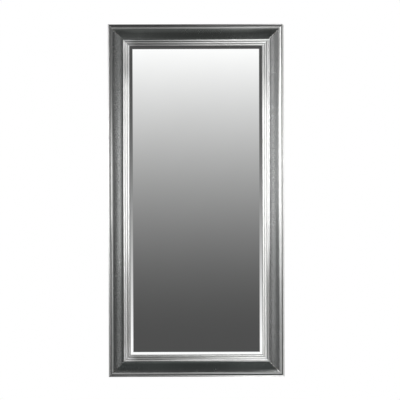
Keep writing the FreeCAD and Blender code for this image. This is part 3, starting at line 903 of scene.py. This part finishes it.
keptNodes = {
    "backing_board": boardMaterial(),
    "edge_pads": rubberMaterial("padRubber", rubber["pad"]),
    "framer_points": pointPlate,
    "v_nails": pointPlate,
}
keptNodes.update({node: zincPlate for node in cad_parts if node.startswith("corner_brace")})
for node, finish in keptNodes.items():
    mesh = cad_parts[node].data
    mesh.materials.clear()
    mesh.materials.append(finish)
print("finishes given to", len(keptNodes), "packed parts")


# Studio: floor, camera, lamps and world

studio = {
    "floorDrop": 0.40, "floorRadius": 1.85, "floorFade": (0.45, 0.98),  # metres, metres, shares of the radius
    "floorColour": (0.80, 0.80, 0.79), "floorDim": 0.97, "floorGrain": 30.0,
    "cameraDistance": 6.0, "viewWidth": 1.728,  # metres that the picture spans at the frame's front
    "cameraRight": 0.0166, "cameraUp": 0.0021, "cameraRoll": 0.166,  # metres, metres, degrees
}


def floorMaterial():
    # Pale and shadowed near the object, and fading to the plain white background further out
    made, tree, shader = newMaterial("paleFloor", Roughness=0.9)
    place = objectPlace(tree)
    level = scaled(tree, place, (1.0, 1.0, 0.0))
    radius = addNode(tree, "VectorMath", {0: level}, operation="LENGTH").outputs["Value"]
    grain = noise(tree, place, studio["floorGrain"])
    pale = studio["floorColour"]
    dim = tuple(studio["floorDim"] * value for value in pale)
    tree.links.new(ramp(tree, grain, [(0.3, dim), (0.7, pale)]), shader.inputs["Base Color"])
    seen = addNode(tree, "LightPath").outputs["Is Camera Ray"]
    farOut = ease(tree, radius, *(share * studio["floorRadius"] for share in studio["floorFade"]))
    fade = calc(tree, "MULTIPLY", farOut, seen)
    white = addNode(tree, "Emission", {"Color": (1, 1, 1, 1), "Strength": 1.0}).outputs[0]
    mixed = addNode(tree, "MixShader", {0: fade, 1: shader.outputs[0], 2: white})
    tree.links.new(mixed.outputs[0], tree.nodes["Material Output"].inputs["Surface"])
    return made


def makeFloor():
    # A disc: rings of points round the middle
    rings, spokes = 8, 96
    radius = np.linspace(0, studio["floorRadius"], rings)[:, None]
    angle = np.linspace(0, 2 * math.pi, spokes, endpoint=False)[None]
    level = np.full((rings, spokes), -halfHeight - studio["floorDrop"])
    points = np.stack([radius * np.cos(angle), radius * np.sin(angle), level], axis=-1).reshape(-1, 3)
    mesh = bpy.data.meshes.new("floor")
    mesh.from_pydata(points.tolist(), [], gridFaces(rings, spokes))
    mesh.materials.append(floorMaterial())
    floor = bpy.data.objects.new("floor", mesh)
    floor.visible_glossy = False
    bpy.context.scene.collection.objects.link(floor)


makeFloor()

cameraData = bpy.data.cameras.new("camera")
camera = bpy.data.objects.new("camera", cameraData)
bpy.context.scene.collection.objects.link(camera)
frontGap = studio["cameraDistance"] + cadLow.y
cameraData.lens = cameraData.sensor_width * frontGap / studio["viewWidth"]
camera.location = (studio["cameraRight"], -studio["cameraDistance"], studio["cameraUp"])
camera.rotation_euler = (math.pi / 2, math.radians(studio["cameraRoll"]), 0)
bpy.context.scene.camera = camera

lamps = {  # name: place, point it faces, width and height, brightness of its face, degrees of spread
    "rightStrip": ((0.83, -2.88, 0.1), (0, 0, 0.1), (0.63, 1.1), 3.35),
    "rightTallStrip": ((0.98, -2.84, 0), (0, 0, 0), (0.31, 2.8), 2.4),
    "rightWall": ((1.59, -2.54, 0), (0, 0, 0), (0.42, 2.8), 1.1),
    "rightSoftbox": ((0.95, -0.55, 0.28), (0.37, 0, 0.28), (0.30, 0.85), 7.0, 42),
    "leftStrip": ((-0.98, -2.84, 0.45), (0, 0, 0.45), (0.31, 1.3), 3.8),
    "leftTallStrip": ((-0.90, -2.86, 0.3), (0, 0, 0.3), (0.42, 2.8), 4.1),
    "leftFill": ((-1.45, -2.62, 0.1), (0, 0, 0.1), (0.74, 1.1), 1.2),
    "leftWall": ((-2.40, -1.81, 0), (0, 0, 0), (0.74, 2.8), 1.9),
    "leftEdgeStrip": ((-2.98, -0.31, 0.1), (0, 0, 0.1), (0.84, 1.1), 5.5),
    "leftSoftbox": ((-0.95, -0.55, 0.08), (-0.37, 0, 0.08), (0.30, 0.45), 3.8, 42),
    "topSoftbox": ((0.75, -0.4, 1.25), (0.75, -0.4, 0), (0.5, 0.5), 16.0),
    "topFill": ((0.9, -1.2, 1.5), (0.2, 0, 0.72), (0.6, 0.6), 0.8),
    "bottomSoftbox": ((0.30, -0.17, -1.07), (0.27, 0, -0.74), (0.26, 0.12), 6.5),
}
litParts = bpy.data.collections.new("litParts")  # leaves the glass out: it shows only its screen
litParts.objects.link(beveledGlass)
litParts.collection_objects[0].light_linking.link_state = "EXCLUDE"


def makeLamp(name, place, target, size, brightness, spread=180):
    data = bpy.data.lights.new(name, "AREA")
    data.shape = "RECTANGLE"
    data.size, data.size_y = size
    data.energy = brightness * math.pi * size[0] * size[1]
    if spread < 180:  # a grid on the softbox: its light falls to nothing at half the spread
        half = math.radians(spread) / 2
        data.spread = 2 * half
        data.energy *= math.sin(half) ** 2 - (half - math.sin(2 * half) / 2) / math.tan(half)
    lamp = bpy.data.objects.new(name, data)
    bpy.context.scene.collection.objects.link(lamp)
    lamp.light_linking.receiver_collection = litParts
    away = np.array(place) - np.array(target)
    lamp.location = place
    tilt = math.acos(away[2] / np.linalg.norm(away))
    lamp.rotation_euler = (tilt, 0, math.atan2(away[1], away[0]) + math.pi / 2)


for name, settings in lamps.items():
    makeLamp(name, *settings)

world = {
    "ambient": 0.75,  # what matt surfaces see
    "satinFront": 0.13, "satinBehind": 0.65,  # what satin metal sees beside the lamps
    "mirrorReach": 0.1093,  # slope of the line of sight to the ends of the glass
    "screenFoot": 0.081, "screenHead": 1.04,  # brightness of the screen that the glass shows
    "screenCurve": 2.1,  # power of the height with which it grows
    "screenEdges": (0.14, 0.22), "roomEdges": (0.50, 0.95),  # slopes where the screen turns over, and ends
    "roomSlope": 0.30, "roomLevel": 0.55, "satinEdges": (0.25, 0.80), "leastDepth": 0.05,
}


def makeWorld():
    # Camera rays see white. The mirror sees a tall graded screen behind the camera, light above and dark
    # below, in a frame that is graded the other way, and a plain room beyond. Matt surfaces see an even
    # room, and satin ones a room that is darker in front.
    made = bpy.data.worlds.new("studio")
    bpy.context.scene.world = made
    made.use_nodes = True
    made.cycles.sampling_method = "NONE"
    tree = made.node_tree
    direction = addNode(tree, "TexCoord").outputs["Generated"]
    axes = addNode(tree, "SeparateXYZ", {0: direction}).outputs
    depth = calc(tree, "MAXIMUM", calc(tree, "MULTIPLY", axes[1], -1.0), world["leastDepth"])
    right = calc(tree, "DIVIDE", axes[0], depth)
    up = calc(tree, "DIVIDE", axes[2], depth)
    ring = calc(tree, "MAXIMUM", calc(tree, "ABSOLUTE", right), calc(tree, "ABSOLUTE", up))
    flip = ease(tree, ring, *world["screenEdges"], 0.5, -0.5)
    share = calc(tree, "MAXIMUM", calc(tree, "DIVIDE", up, world["mirrorReach"]), -1.0)
    share = calc(tree, "MINIMUM", share, 1.0)
    rise = calc(tree, "POWER", calc(tree, "MULTIPLY_ADD", share, flip, 0.5), world["screenCurve"])
    near = calc(tree, "MULTIPLY_ADD", rise, world["screenHead"] - world["screenFoot"], world["screenFoot"])
    far = calc(tree, "MULTIPLY_ADD", axes[2], world["roomSlope"], world["roomLevel"])
    mirrored = addNode(tree, "Mix", {0: ease(tree, ring, *world["roomEdges"]), 2: near, 3: far}).outputs[0]
    satin = ease(tree, axes[1], *world["satinEdges"], world["satinFront"], world["satinBehind"])
    rays = addNode(tree, "LightPath").outputs
    level = world["ambient"]
    for ray, seen in (("Is Glossy Ray", satin), ("Is Singular Ray", mirrored),
                      ("Is Transmission Ray", 1.0), ("Is Camera Ray", 1.0)):
        level = addNode(tree, "Mix", {0: rays[ray], 2: level, 3: seen}).outputs[0]
    background = tree.nodes["Background"]
    background.inputs["Color"].default_value = (1, 1, 1, 1)
    tree.links.new(level, background.inputs["Strength"])


makeWorld()
bpy.context.scene.view_settings.view_transform = "Standard"
print("studio made:", len(lamps), "lamps")
